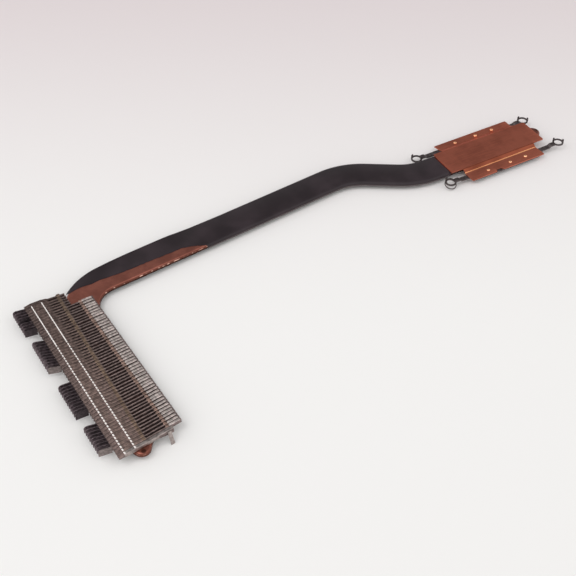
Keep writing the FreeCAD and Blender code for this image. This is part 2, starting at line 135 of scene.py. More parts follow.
def add_bump(tree, shader, height, depth):
    """Roughens a surface by a height between 0 and 1, times a depth in metres."""
    node = tree.nodes.new("ShaderNodeBump")
    node.inputs["Strength"].default_value = 1.0
    node.inputs["Distance"].default_value = depth
    tree.links.new(height, node.inputs["Height"])
    tree.links.new(node.outputs[0], shader.inputs["Normal"])


def rgb(colour):
    return (colour[0], colour[1], colour[2], 1.0)


def darker(colour, share):
    return (colour[0] * share, colour[1] * share, colour[2] * share, 1.0)


# Metals and film

def copper_material(name, colour, roughness, streak):
    """Tarnished sheet copper with fine rolling streaks along X."""
    material, tree, shader = new_tree(name)
    place, _ = add_place(tree)
    cloud = add_noise(tree, place, 8 * MM, 4.0)
    streaks = add_noise(tree, place, 0.35 * MM, 2.0, (streak, 1.0, 1.0))
    tone = add_mix(tree, add_range(tree, cloud, 0.3, 0.7), darker(colour, 0.72), darker(colour, 1.12))
    tone = add_mix(tree, add_range(tree, streaks, 0.45, 0.75, 0.0, 0.35), tone, darker(colour, 1.3))
    feed(tree, shader.inputs["Base Color"], tone)
    shader.inputs["Metallic"].default_value = 1.0
    shader.inputs["Specular Tint"].default_value = [(1.0 + part) / 2 for part in rgb(colour)]
    dull = add_range(tree, cloud, 0.3, 0.7, roughness + 0.08, roughness - 0.06)
    feed(tree, shader.inputs["Roughness"], dull)
    add_bump(tree, shader, streaks, 0.01 * MM)
    return material


def pipe_material(name, colour, glint, top, edge, pits, size):
    """Copper of the pipe: sides darkened as painted shade and nearly black below the glint line, a
    broken line of painted glints, and painted shade at a spot in each nose.
    """
    material, tree, shader = new_tree(name)
    place, axes = add_place(tree)
    cloud = add_noise(tree, place, 5 * MM, 5.0)
    spots = add_noise(tree, place, 1.1 * MM, 3.0)
    tone = add_mix(tree, add_range(tree, cloud, 0.3, 0.7), darker(colour, 0.7), darker(colour, 1.15))
    tone = add_mix(tree, add_range(tree, spots, 0.6, 0.75, 0.0, 0.4), tone, darker(colour, 0.55))
    # Painted shade: the sides are darkened below the top, and nearly black below the edge line.
    side = add_range(tree, axes[2], top - 0.01 * MM, top - 0.3 * MM, 0.0, 0.95)
    tone = add_mix(tree, side, tone, darker(colour, 0.24))
    low = add_range(tree, axes[2], edge, edge - 0.6 * MM)
    tone = add_mix(tree, low, tone, darker(colour, 0.06))
    # Painted highlight: a broken line of glints along the edge line.
    off_edge = add_math(tree, "ABSOLUTE", add_math(tree, "SUBTRACT", axes[2], edge))
    line = add_range(tree, off_edge, 0.16 * MM, 0.06 * MM)
    line = add_math(tree, "MULTIPLY", line, add_range(tree, spots, 0.52, 0.64, 0.0, 0.8))
    tone = add_mix(tree, line, tone, rgb(glint))
    # Painted shade at each spot in the noses: darker around it, nearly black at its middle.
    for pit in pits:
        away = tree.nodes.new("ShaderNodeVectorMath")
        away.operation = "DISTANCE"
        tree.links.new(place, away.inputs[0])
        away.inputs[1].default_value = pit
        dull = add_range(tree, away.outputs["Value"], 5 * size, 2 * size, 0.0, 0.6)
        tone = add_mix(tree, dull, tone, darker(colour, 0.4))
        hollow = add_range(tree, away.outputs["Value"], size, 0.6 * size, 0.0, 0.85)
        tone = add_mix(tree, hollow, tone, darker(colour, 0.15))
    feed(tree, shader.inputs["Base Color"], tone)
    shader.inputs["Metallic"].default_value = 1.0
    feed(tree, shader.inputs["Roughness"], add_range(tree, cloud, 0.3, 0.7, 0.46, 0.34))
    add_bump(tree, shader, spots, 0.02 * MM)
    return material


def steel_material(name, colour, roughness, dusk=0.0):
    """Dull steel or plated sheet with a faint grain, darkened toward the far end of the fins as painted
    shade.
    """
    material, tree, shader = new_tree(name)
    place, axes = add_place(tree)
    grain = add_noise(tree, place, 0.8 * MM, 4.0)
    tone = add_mix(tree, add_range(tree, grain, 0.35, 0.7), darker(colour, 0.7), darker(colour, 1.2))
    # Painted shade: darker toward the far end of the fin stack.
    if dusk:
        far = add_range(tree, axes[1], -50 * MM, 0.0, 0.0, dusk)
        tone = add_mix(tree, far, tone, darker(colour, 0.0))
    feed(tree, shader.inputs["Base Color"], tone)
    shader.inputs["Metallic"].default_value = 1.0
    dull = add_range(tree, grain, 0.3, 0.7, roughness - 0.05, roughness + 0.1)
    feed(tree, shader.inputs["Roughness"], dull)
    add_bump(tree, shader, grain, 0.015 * MM)
    return material


def polished_material(name, colour):
    """Pale, nearly white metal for painted highlights."""
    material, tree, shader = new_tree(name)
    place, _ = add_place(tree)
    grain = add_noise(tree, place, 0.5 * MM, 2.0)
    feed(tree, shader.inputs["Base Color"], add_mix(tree, grain, darker(colour, 0.9), rgb(colour)))
    shader.inputs["Metallic"].default_value = 0.2
    shader.inputs["Roughness"].default_value = 0.35
    return material


def film_material(name, colour, worn, edge, roughness):
    """Black plastic film, semi-gloss, with faint dull patches and a pale line along its edge that is a
    painted highlight.
    """
    material, tree, shader = new_tree(name)
    place, axes = add_place(tree)
    cloud = add_noise(tree, place, 9 * MM, 4.0)
    grain = add_noise(tree, place, 0.3 * MM, 2.0)
    tone = add_mix(tree, add_range(tree, cloud, 0.35, 0.7), darker(colour, 0.75), darker(colour, 1.25))
    # Painted highlight: a pale line along the film's edge.
    off_edge = add_math(tree, "ABSOLUTE", add_math(tree, "SUBTRACT", axes[2], edge))
    line = add_range(tree, off_edge, 0.35 * MM, 0.1 * MM, 0.0, 0.8)
    tone = add_mix(tree, line, tone, rgb(worn))
    feed(tree, shader.inputs["Base Color"], tone)
    dull = add_range(tree, cloud, 0.3, 0.7, roughness - 0.05, roughness + 0.08)
    feed(tree, shader.inputs["Roughness"], dull)
    shader.inputs["Specular IOR Level"].default_value = 0.25
    add_bump(tree, shader, grain, 0.004 * MM)
    return material


def dress(node, material):
    """Puts a material on a CAD node."""
    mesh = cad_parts[node].data
    mesh.materials.clear()
    mesh.materials.append(material)


# Sheet metal

def lay_row(bm, spots):
    """A chain of vertices joined by edges."""
    verts = [bm.verts.new(spot) for spot in spots]
    return [bm.edges.new(pair) for pair in zip(verts, verts[1:])]


def draw_out(bm, edges, place):
    """Extrudes a chain of edges; place gives each new vertex its spot from its old one."""
    new = bmesh.ops.extrude_edge_only(bm, edges=edges)["geom"]
    for item in new:
        if isinstance(item, bmesh.types.BMVert):
            item.co = place(item.co)
    return [item for item in new if isinstance(item, bmesh.types.BMEdge)]


def same(first, second):
    """Whether two measures are the same."""
    return abs(first - second) < SAME


def level(line, x):
    """The height at x of a line of (x, height) corners, which runs on before its first corner."""
    for (start, low), (end, high) in zip(line, line[1:]):
        if x <= end:
            return low + (high - low) * (x - start) / (end - start)
    return line[-1][1]


def finish_piece(name, bm, materials, slot, *nodes):
    """Turns a mesh in row millimetres into a piece that stands for CAD nodes."""
    bmesh.ops.recalc_face_normals(bm, faces=bm.faces)
    bmesh.ops.scale(bm, vec=(MM, MM, MM), verts=bm.verts)
    mesh = bpy.data.meshes.new(name)
    bm.to_mesh(mesh)
    bm.free()
    for material in materials:
        mesh.materials.append(material)
    piece = bpy.data.objects.new(name, mesh)
    bpy.context.scene.collection.objects.link(piece)
    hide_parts(*nodes)
    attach(piece, "root")
    return piece


def thicken(piece, thickness):
    """Gives a folded sheet its thickness, half on each side."""
    sheet = piece.modifiers.new("sheet", "SOLIDIFY")
    sheet.thickness = thickness * MM
    sheet.offset = 0.0


# Settings

def tint(name, description, default):
    """A colour that the panel shows."""
    return FloatVectorProperty(
        name=name, description=description, default=default, subtype="COLOR", min=0.0, max=1.0)


class HeatsinkColours(bpy.types.PropertyGroup):
    """Colours of the metals and the film"""
    pipe: tint("Pipe copper", "Tarnished copper of the bare pipe", (0.46, 0.17, 0.125))
    # Colour of the painted glints on the pipe's edge.
    glint: tint("Pipe glints", "Worn spots on the edge of the pipe", (1.0, 0.62, 0.5))
    plate: tint("Plate copper", "Copper of the cover plate", (0.6, 0.19, 0.125))
    # Painted shade colour for the plate's near slanted wall.
    wall: tint("Plate walls", "Copper of the plate's slanted walls", (0.27, 0.075, 0.042))
    # Painted highlight colour on the round of the near fold.
    fold: tint("Fold line", "Copper rubbed bright in the near fold", (1.0, 0.42, 0.2))
    block: tint("Block copper", "Machined copper of the contact block", (0.7, 0.3, 0.18))
    rivet: tint("Rivet heads", "Bright heads of the rivets", (1.0, 0.52, 0.3))
    steel: tint("Spring steel", "Dark steel of the arms", (0.15, 0.125, 0.125))
    film: tint("Black film", "Plastic film on the pipe", (0.027, 0.019, 0.0225))
    # Colour of the painted highlight line on the film's lower edge.
    worn: tint("Worn film", "Film worn pale along its lower edge", (0.16, 0.13, 0.13))
    fin: tint("Fin sheet", "Plated sheet between the creases of the fins", (0.36, 0.26, 0.23))
    # Painted shade: the brow is darker than the fin sheet.
    brow: tint("Fin brow", "Plated sheet at the exhaust edge of the fins", (0.24, 0.175, 0.16))
    # Painted highlight colour of the creases.
    crease: tint("Burnished crease", "Polished spots on the creases of the fins", (0.95, 0.9, 0.87))
    step: tint("Fin step", "Sheet behind the second crease", (0.33, 0.235, 0.175))
    lock: tint("Fin locks", "Bare copper of the row of locks", (0.47, 0.32, 0.265))
    slot: tint("Fin edges", "Sheet of the fins between the open slots", (0.31, 0.235, 0.22))
    inlet: tint("Inlet flange", "Sheet at the inlet side of the fins", (0.76, 0.67, 0.635))
    web: tint("Fin web", "Upright part of the fins", (0.26, 0.2, 0.19))
    tab: tint("Exhaust tabs", "Dark tabs on the exhaust side", (0.22, 0.175, 0.19))
    tab_end: tint("Last tabs", "Lighter face of the last tab in a group", (0.27, 0.225, 0.215))
    tab_shade: tint("Shaded tabs", "Darker face of the last tab in other groups", (0.09, 0.072, 0.078))
    end: tint("End fin", "Light sheet of the end fin", (0.4, 0.345, 0.325))


class HeatsinkSheets(bpy.types.PropertyGroup):
    """Shapes of the folded sheets, in millimetres of the row frame"""
    stack_x: FloatProperty(name="Stack X", description="Exhaust corner of the end fin", default=-172.84)
    stack_y: FloatProperty(name="Stack Y", description="Exhaust corner of the end fin", default=-64.4)
    stack_turn: FloatProperty(
        name="Stack turn", description="Turn of the stack in plan",
        default=math.radians(2.7), subtype="ANGLE")
    fin_pitch: FloatProperty(
        name="Fin pitch", description="From one fin to the next", default=1.2, min=0.1)
    fin_sheet: FloatProperty(
        name="Fin sheet", description="Thickness of the fins", default=0.16, min=0.01)
    fan_near: FloatProperty(
        name="Fan, near end", description="Lean of the end fin",
        default=math.radians(5.6), subtype="ANGLE")
    fan_far: FloatProperty(
        name="Fan, far end", description="Lean of the last fin",
        default=math.radians(-1.6), subtype="ANGLE")
    unevenness: FloatProperty(
        name="Unevenness", description="How far single fins are bent out of line", default=0.05, min=0.0)
    seed: IntProperty(name="Seed", description="Picks the pattern of bent fins", default=7)
    film_sheet: FloatProperty(
        name="Film sheet", description="Thickness of the film", default=0.1, min=0.01)
    plate_sheet: FloatProperty(
        name="Plate sheet", description="Thickness of the plate", default=0.3, min=0.01)
    fold_round: FloatProperty(
        name="Fold round", description="Round of the plate's folds", default=0.3, min=0.01)


class HeatsinkStage(bpy.types.PropertyGroup):
    """Floor, lamp and camera"""
    # The floor is painted darker towards the back: painted shade.
    floor_near: tint("Floor, near", "Colour of the table towards the camera", (0.905, 0.9, 0.89))
    floor_far: tint("Floor, far", "Colour of the table at the back", (0.73, 0.655, 0.668))
    ambient: FloatProperty(
        name="Ambient light", description="Strength of the light from all round", default=1.19, min=0.0)
    shade: FloatProperty(
        name="Shade", description="Light left in the part of the room that flat tops mirror",
        default=0.3, min=0.0)
    lamp_power: FloatProperty(
        name="Lamp power", description="Power of the soft lamp", default=0.8, min=0.0, unit="POWER")
    lamp_size: FloatProperty(
        name="Lamp size", description="Width of the soft lamp", default=0.3, min=0.01, unit="LENGTH")
    lamp_place: FloatVectorProperty(
        name="Lamp place", description="Where the lamp stands",
        default=(-0.5, -0.05, 0.8), subtype="XYZ", unit="LENGTH")
    camera_place: FloatVectorProperty(
        name="Camera place", description="Where the camera stands",
        default=(-0.22061, -0.24495, 0.2466), subtype="XYZ", unit="LENGTH")
    camera_way: FloatVectorProperty(
        name="Camera direction", description="The way the camera looks",
        default=(0.34803, 0.62406, -0.6997), subtype="DIRECTION")
    lens: FloatProperty(
        name="Lens", description="Focal length in millimetres on a 36 mm frame", default=68.75, min=1.0)


# Pieces

class HEATSINK_OT_metals(bpy.types.Operator):
    """Give the pipe, the block and the fittings their metals"""
    bl_idname = "heatsink.metals"
    bl_label = "Metals"

    # Heights of the pipe's top and of its line of painted glints, with painted shade below it, and the
    # spots in its two noses that get painted shade.
    pipe_top, worn_edge = 3.0, 2.55
    pits, pit_size = ((-165.3, -64.3, 2.9), (22.0, 0.7, 2.9)), 0.9

    def execute(self, context):
        colours = context.scene.heatsink_colours
        pits = [Vector(pit) * MM for pit in self.pits]
        dress("heat_pipe", pipe_material("pipe copper", colours.pipe, colours.glint, self.pipe_top * MM,
                                         self.worn_edge * MM, pits, self.pit_size * MM))
        dress("contact_block", copper_material("block copper", colours.block, 0.3, 10.0))
        steel = steel_material("spring steel", colours.steel, 0.4)
        for node in ("near_spring_arm", "far_spring_arm", "screw_retainer"):
            dress(node, steel)
        return {"FINISHED"}


class HEATSINK_OT_plate(bpy.types.Operator):
    """Fold the cover plate from sheet"""
    bl_idname = "heatsink.plate"
    bl_label = "Cover plate"

    # Places in the list of coppers.
    PLAIN, WALL, FOLD = range(3)
    # Hat section from the near rim to the far one, and where it is drawn along X.
    section = ((-11.55, 2.15), (-6.85, 2.15), (-5.35, 3.15), (6.65, 3.15), (8.15, 2.15), (11.55, 2.15))
    stations = (-15.7, -5.1, -4.6, -2.7, -1.7, 15.7)
    # Notch in the near flange, ends of the crown, rounds, and flange ends that stick out.
    notch, notch_depth = (-4.6, -2.7), 1.1
    crown_end = 20.3
    corner, rim_round = 0.45, 0.05
    far_longer, near_longer = 0.9, 0.4
    # Heights between which a near face is wall and gets painted shade, and how wide and how high the
    # painted highlight on the fold reaches.
    wall_heights, fold_half, fold_top = (2.2, 3.1), 0.2, 2.4

    def execute(self, context):
        settings = context.scene.heatsink_sheets
        bm = bmesh.new()
        self.fold_hat(bm)
        self.round_corners(bm)
        folds = [edge for edge in bm.edges if self.on_fold(edge)]
        bmesh.ops.bevel(bm, geom=folds, offset=settings.fold_round, offset_type="OFFSET", segments=3,
                        profile=0.5, affect="EDGES", material=-1)
        for face in bm.faces:
            face.smooth = True
            face.material_index = self.pick_copper(face)
        colours = context.scene.heatsink_colours
        coppers = [
            copper_material("plate copper", colours.plate, 0.34, 12.0),
            copper_material("plate walls", colours.wall, 0.34, 12.0),
            copper_material("fold line", colours.fold, 0.34, 12.0),
        ]
        piece = finish_piece("folded_plate", bm, coppers, "plate_copper", "cover_plate")
        thicken(piece, settings.plate_sheet)
        rim = piece.modifiers.new("rim", "BEVEL")
        rim.width = self.rim_round * MM
        rim.segments = 2
        rim.limit_method = "ANGLE"
        rim.angle_limit = math.radians(50)
        return {"FINISHED"}

    def pick_copper(self, face):
        """The place in the list of coppers for a face of the plate."""
        middle = face.calc_center_median()
        # Faces on the near fold's round get the bright copper as painted highlight.
        if abs(middle.y - self.section[1][0]) < self.fold_half and middle.z < self.fold_top:
            return self.FOLD
        # Faces of the near slanted wall get the dark copper as painted shade.
        low, high = self.wall_heights
        return self.WALL if low < middle.z < high and middle.y < 0.0 else self.PLAIN

    def fold_hat(self, bm):
        """The plate with sharp folds and corners."""
        edges = lay_row(bm, [(self.stations[0], y, z) for y, z in self.section])
        for x in self.stations[1:]:
            edges = draw_out(bm, edges, lambda co, x=x: (x, co.y, co.z))
        for vert in bm.verts:
            at_notch = any(same(vert.co.x, x) for x in self.notch)
            if at_notch and same(vert.co.y, self.section[0][0]):
                vert.co.y += self.notch_depth
            if same(vert.co.x, self.stations[0]) and same(vert.co.y, self.section[-1][0]):
                vert.co.x -= self.far_longer
            if same(vert.co.x, self.stations[-1]) and same(vert.co.y, self.section[0][0]):
                vert.co.x += self.near_longer
        for end in (self.stations[0], self.stations[-1]):
            crown = [edge for edge in bm.edges if all(
                same(vert.co.x, end) and same(vert.co.z, self.section[2][1]) for vert in edge.verts)]
            reach = math.copysign(self.crown_end, end)
            draw_out(bm, crown, lambda co, reach=reach: (reach, co.y, co.z))

    def round_corners(self, bm):
        """Rounds the corners of the flanges and of the crown in plan."""
        rims = (self.section[0][0], self.section[-1][0])
        corners = []
        for vert in bm.verts:
            at_end = abs(vert.co.x) > self.stations[-1] - SAME
            on_flange = at_end and any(same(vert.co.y, y) for y in rims)
            if on_flange or same(abs(vert.co.x), self.crown_end):
                corners.append(vert)
        bmesh.ops.bevel(bm, geom=corners, offset=self.corner, offset_type="OFFSET", segments=4,
                        profile=0.5, affect="VERTICES", material=-1)

    def on_fold(self, edge):
        """Whether an edge lies on one of the four folds."""
        inside = all(abs(vert.co.x) < self.stations[-1] + SAME for vert in edge.verts)
        folds = [y for y, _ in self.section[1:-1]]
        return inside and any(all(same(vert.co.y, y) for vert in edge.verts) for y in folds)


class HEATSINK_OT_rivets(bpy.types.Operator):
    """Set the domed rivets"""
    bl_idname = "heatsink.rivets"
    bl_label = "Rivets"

    spots = ((-7.4, -9.3), (2.3, -9.3), (9.1, -9.3), (-8.5, 9.6), (0.6, 9.6), (8.0, 9.6))
    # Radius and height of the heads and of the shanks, how flat the heads are, how long the shanks.
    head, head_z, flatness = 0.65, 2.3, 0.6
    shank, shank_z, shank_length = 0.5, 1.9, 0.6

    def execute(self, context):
        bm = bmesh.new()
        for x, y in self.spots:
            dome = bmesh.ops.create_uvsphere(bm, u_segments=16, v_segments=8, radius=self.head)["verts"]
            bmesh.ops.scale(bm, vec=(1.0, 1.0, self.flatness), verts=dome)
            bmesh.ops.translate(bm, vec=(x, y, self.head_z), verts=dome)
            pin = bmesh.ops.create_cone(bm, cap_ends=True, segments=16, radius1=self.shank,
                                        radius2=self.shank, depth=self.shank_length)["verts"]
            bmesh.ops.translate(bm, vec=(x, y, self.shank_z), verts=pin)
        for face in bm.faces:
            face.smooth = True
        bright = copper_material("rivet heads", context.scene.heatsink_colours.rivet, 0.28, 1.0)
        finish_piece("domed_rivets", bm, [bright], "rivet_metal", "rivets")
        return {"FINISHED"}


class HEATSINK_OT_film(bpy.types.Operator):
    """Lay the film over the pipe"""
    bl_idname = "heatsink.film"
    bl_label = "Film"

    # Middle line of the pipe in plan from the plate on, and the rounds of its three bends.
    corners = ((-20.5, 0.78), (-32.0, 0.8), (-53.3, 13.85), (-159.1, 4.0), (-165.4, -65.4))
    rounds, bend_steps = (22.0, 22.0, 13.0), 16
    # Half of the wrapped section as distance from the middle line and height, from its lower edge up,
    # and the height of the painted highlight line along it.
    wrap = ((5.58, 1.6), (5.58, 2.35), (5.28, 2.83), (4.75, 3.05))
    worn_edge = 1.75
    # Near border where the film leaves the near side of the pipe, by the run along the middle line.
    border = ((95.8, -5.5), (97.8, -4.3), (99.8, -3.2), (103.8, -1.8), (107.2, -1.8), (115.6, -1.43),
              (126.1, -1.0), (131.0, -0.3), (135.75, 0.5), (138.3, 2.6), (140.4, 4.2), (141.7, 5.6))
    # Share by which the far side has opened from wrapped to flat, and the far border of the flat film.
    lift = ((0.0, 0.0), (84.0, 0.0), (104.0, 1.0))
    far_border = ((0.0, 5.6), (95.8, 5.62), (100.0, 5.8), (108.0, 5.98), (120.0, 5.98), (127.0, 5.75),
                  (131.0, 5.45), (135.0, 5.25), (138.5, 5.4), (141.7, 5.8))
    # Width of the strips along the borders, how ragged the near border is cut, and rows of the mesh.
    hem, ragged, rows = 0.1, 0.1, 142

    def execute(self, context):
        settings = context.scene.heatsink_sheets
        chance = random.Random(settings.seed)
        way = self.middle_line()
        bm = bmesh.new()
        columns = 2 * len(self.wrap) - 1
        bmesh.ops.create_grid(bm, x_segments=self.rows, y_segments=columns, size=0.5)
        runs = [self.border[-1][0] * row / self.rows for row in range(self.rows + 1)]
        sections = [self.section(run, chance) for run in runs]
        for vert in bm.verts:
            row = round((vert.co.x + 0.5) * self.rows)
            across, height = sections[row][round((vert.co.y + 0.5) * columns)]
            spot, along = self.walk(way, runs[row])
            vert.co = (spot.x + along.y * across, spot.y - along.x * across, height)
        for face in bm.faces:
            face.smooth = True
        colours = context.scene.heatsink_colours
        film = film_material("black film", colours.film, colours.worn, self.worn_edge * MM, 0.4)
        piece = finish_piece("wrapped_film", bm, [film], "black_film", "pipe_film")
        thicken(piece, settings.film_sheet)
        return {"FINISHED"}

    def section(self, run, chance):
        """Corners of the film across the pipe at a run, from the near border to the far one."""
        near = [(-across, height) for across, height in self.wrap]
        top, stop, hem = self.wrap[-1][1], level(self.far_border, run), self.hem
        if run > self.border[0][0]:
            start = level(self.border, run) + chance.uniform(-self.ragged, self.ragged)
            hem = min(hem, (stop - start) / (2 * len(near)))
            near = [(start + hem * step, top) for step in range(len(near))]
        lift = level(self.lift, run)
        far = [(across + (stop - hem * step - across) * lift, height + (top - height) * lift)
               for step, (across, height) in enumerate(self.wrap)]
        return near + far[::-1]

    def middle_line(self):
        """Run, place and direction at the ends of the straights and along the bends."""
        points = [Vector(corner) for corner in self.corners]
        way = [(0.0, points[0], (points[1] - points[0]).normalized())]
        for before, corner, after, size in zip(points, points[1:], points[2:], self.rounds):
            first, second = (corner - before).normalized(), (after - corner).normalized()
            turn = -first.angle_signed(second)
            start = corner - first * size * math.tan(abs(turn) / 2)
            centre = start + Vector((-first.y, first.x)) * math.copysign(size, turn)
            way.append((way[-1][0] + (start - way[-1][1]).length, start, first))
            for step in range(1, self.bend_steps + 1):
                bend = Matrix.Rotation(turn * step / self.bend_steps, 2)
                spot = centre + bend @ (start - centre)
                way.append((way[-1][0] + size * abs(turn) / self.bend_steps, spot, bend @ first))
        way.append((way[-1][0] + (points[-1] - way[-1][1]).length, points[-1], way[-1][2]))
        return way

    def walk(self, way, run):
        """Place and direction at a run along the middle line."""
        for (start, here, along), (end, there, onward) in zip(way, way[1:]):
            if run <= end:
                share = (run - start) / (end - start)
                return here.lerp(there, share), along.lerp(onward, share).normalized()
        return way[-1][1], way[-1][2]


class HEATSINK_OT_fins(bpy.types.Operator):
    """Fold the fins from sheet, group by group"""
    bl_idname = "heatsink.fins"
    bl_label = "Fins"

    # CAD node, fins in it and sweep of their exhaust tabs in degrees, from the near end.
    rows = (
        ("end_fin", 1, None), ("plain_fins_d", 3, None), ("tab_fins_d", 9, 15.0),
        ("plain_fins_c", 4, None), ("tab_fins_c", 11, 7.0), ("plain_fins_b", 5, None),
        ("tab_fins_b", 11, 19.0), ("plain_fins_a", 4, None), ("tab_fins_a", 4, 9.0),
        ("short_fins", 5, 9.0),
    )
    # Places in the list of sheets.
    SHEET, CREASE, STEP, LOCK, INLET, WEB, TAB, END, BROW, EDGE, LAST_TAB, SHADED_TAB = range(12)
    # Where each sheet of the folded top ends along the fin; the brow's sheet is darker as painted shade.
    bands = ((2.3, BROW), (8.6, SHEET), (9.6, STEP), (15.8, EDGE), (16.7, LOCK), (20.1, INLET))
    # Places along the fin where its outline changes, and the depths of the fins that are shorter.
    stations = (0.0, 1.4, 1.7, 2.5, 4.2, 5.8, 6.6, 7.3, 7.6, 8.5, 8.8, 9.5, 9.8, 12.8,
                15.7, 15.95, 16.55, 16.75, 17.0, 18.8, 20.1, 20.5)
    depths = {"end_fin": 17.4, "short_fins": 13.4}
    # Height of the folded top along the fin, its free edge, and the edge of the closed end fin.
    crest = ((0.0, 4.0), (2.28, 4.42), (2.5, 4.51), (2.72, 4.43), (5.58, 4.43), (5.8, 4.51),
             (6.02, 4.42), (8.1, 4.2), (20.5, 4.2))
    reach = ((0.0, 1.0), (5.8, 1.05), (7.3, 1.0), (7.6, 0.5), (8.5, 0.46), (8.8, 0.98), (9.5, 1.0),
             (9.8, 0.36), (15.7, 0.36), (15.95, 0.9), (16.55, 0.9), (16.75, 0.32), (17.0, 0.78),
             (20.5, 0.78))
    closed_reach = 1.05
    # Shoulder of the fold as distance from the web and depth under the top, then where the flat
    # starts, and the flat as share of the way to the free edge and depth under the top.
    shoulder, flat_from = ((0.0, 0.16), (0.05, 0.04)), 0.16
    flat = ((0.0, 0.0), (0.1, 0.0), (0.84, 0.0), (0.94, 0.01), (1.0, 0.06))
    # Faces below this height, or nearer to the web than this, are web. The end fin is light from here.
    web_top, web_side, light_from = 3.6, 0.12, 2.2
    # Where the small slots lie, and the share by which they are closed along the stack.
    small_slots = (7.3, 8.8)
    slots_closed = ((0.0, 0.92), (0.3, 0.85), (0.45, 0.55), (0.65, 0.2), (0.85, 0.0), (1.0, 0.0))
    # Foot of the web along the fin, on the fins near the end fin and on the end fin itself.
    foot = ((0.0, 2.28), (1.4, 2.28), (1.7, 3.08), (20.5, 3.08))
    foot_near = ((0.0, 3.55), (1.4, 3.55), (1.7, 3.08), (20.5, 3.08))
    foot_end = ((0.0, 3.6), (1.7, 3.6), (2.5, 3.2), (12.8, 3.2), (13.4, 2.5), (17.4, 2.5))
    # Where the lower flange starts, and its gap to the next fin.
    flange_from, flange_gap = 1.6, 0.06
    # How far the exhaust edge of every fin sits in, and the inlet edge of the near fins sticks out.
    drift = ((-9.0, 0.4), (0.0, 0.4), (2.2, 0.0), (8.0, 0.0), (20.5, 0.8))
    drift_split = 8.0
    # How far the step moves toward the inlet at the far end of the stack, where its slots are longest.
    stretch = ((0.0, 0.0), (7.3, 0.0), (8.5, 2.2), (8.8, 2.3), (9.8, 2.4), (12.8, 0.6), (13.4, 0.1),
               (15.7, 0.0), (20.5, 0.0))
    # Creases along the fin, and half the width of their beads at the near and the far end.
    creases, bead_near, bead_far = (2.5, 5.8), 0.22, 0.14
    # Half the width of the painted highlights on them, and where these lie across a fin, broken or
    # whole.
    spot_half, spot_broken, spot_whole = 0.2, (0.25, 1.0), (0.1, 1.1)
    # Share of the stack from which the creases get their painted highlight without a break, and where it
    # ends.
    rubbed_from, rubbed_to = 0.7, 0.99
    # Most that a fin is turned, in degrees, and shifted for each 1.0 of unevenness.
    bent_lean, bent_shift = 8.0, 0.5
    # Groups whose last tab catches the light, painted as a lighter colour, and the sizes of the tabs and
    # of the end fin's leg.
    bright = ("tab_fins_d", "tab_fins_b")
    tab_length, tab_low, tab_high, tab_round = 3.9, 1.48, 4.12, 1.1
    leg_x, leg_width, leg_top, leg_foot = 15.9, 1.14, (-0.15, 4.0), (-1.8, 0.1)

    def execute(self, context):
        colours = context.scene.heatsink_colours
        settings = context.scene.heatsink_sheets
        sheets = [
            steel_material("fin sheet", colours.fin, 0.42, 0.4),
            polished_material("burnished crease", colours.crease),
            steel_material("fin step", colours.step, 0.45, 0.15),
            steel_material("fin locks", colours.lock, 0.45),
            steel_material("inlet flange", colours.inlet, 0.42),
            steel_material("fin web", colours.web, 0.45),
            steel_material("exhaust tabs", colours.tab, 0.45),
            steel_material("end fin", colours.end, 0.42),
            steel_material("fin brow", colours.brow, 0.45, 0.4),
            steel_material("fin edges", colours.slot, 0.45, 0.4),
            steel_material("last tabs", colours.tab_end, 0.45),
            steel_material("shaded tabs", colours.tab_shade, 0.5),
        ]
        chance = random.Random(settings.seed)
        total = sum(count for _, count, _ in self.rows)
        passed = 0
        for node, count, sweep in self.rows:
            bm = bmesh.new()
            for number in range(count):
                before = set(bm.verts)
                share = passed / (total - 1)
                self.fold_fin(bm, node, share, chance, settings)
                if sweep is not None:
                    # Last tab of each group: painted light in the bright groups, painted shade in the
                    # others.
                    last = self.LAST_TAB if node in self.bright else self.SHADED_TAB
                    self.add_tab(bm, math.radians(sweep), settings, self.TAB if number else last)
                new = [vert for vert in bm.verts if vert not in before]
                for vert in new:
                    vert.co.x += level(self.stretch, vert.co.x) * share
                    part = 1.0 if vert.co.x < self.drift_split else 1.0 - share
                    vert.co.x += level(self.drift, vert.co.x) * part
                bmesh.ops.transform(bm, matrix=self.place(passed, share, chance, settings), verts=new)
                passed += 1
            slot = "end_fin_metal" if node == "end_fin" else "fin_metal"
            piece = finish_piece(f"folded_{node}", bm, sheets, slot, node)
            thicken(piece, settings.fin_sheet)
        return {"FINISHED"}

    def place(self, index, share, chance, settings):
        """Where a fin stands in the stack: fanned out and a little bent out of line."""
        lean = settings.fan_near + (settings.fan_far - settings.fan_near) * share
        lean += math.radians(chance.uniform(-self.bent_lean, self.bent_lean)) * settings.unevenness
        across = settings.fin_pitch * index
        across += chance.uniform(-self.bent_shift, self.bent_shift) * settings.unevenness
        return (
            Matrix.Translation((settings.stack_x, settings.stack_y, 0.0))
            @ Matrix.Rotation(settings.stack_turn, 4, "Z")
            @ Matrix.Translation((0.0, across, 0.0))
            @ Matrix.Rotation(lean, 4, "Z")
        )

    def fold_fin(self, bm, node, share, chance, settings):
        """One fin at a share of the stack: web, lower flange and folded top."""
        depth = self.depths.get(node, self.stations[-1])
        closed = node == "end_fin"
        bead = self.bead_near + (self.bead_far - self.bead_near) * share
        beads = [crease + side for crease in self.creases for side in (-bead, bead)]
        stations = sorted([x for x in self.stations if x < depth] + beads + [depth])
        lip = self.foot_end if closed else self.foot_near if node == "plain_fins_d" else self.foot
        half = settings.fin_sheet / 2
        faces = set(bm.faces)
        slack = {x: chance.uniform(-1.0, 1.0) * settings.unevenness for x in stations}

        def top(x):
            return level(self.crest, x)

        def edge(x):
            if closed:
                return self.closed_reach
            reach = level(self.reach, x)
            if self.small_slots[0] < x < self.small_slots[1]:
                reach += (1.0 - reach) * level(self.slots_closed, share)
            return reach + slack[min(stations, key=lambda s: abs(s - x))]

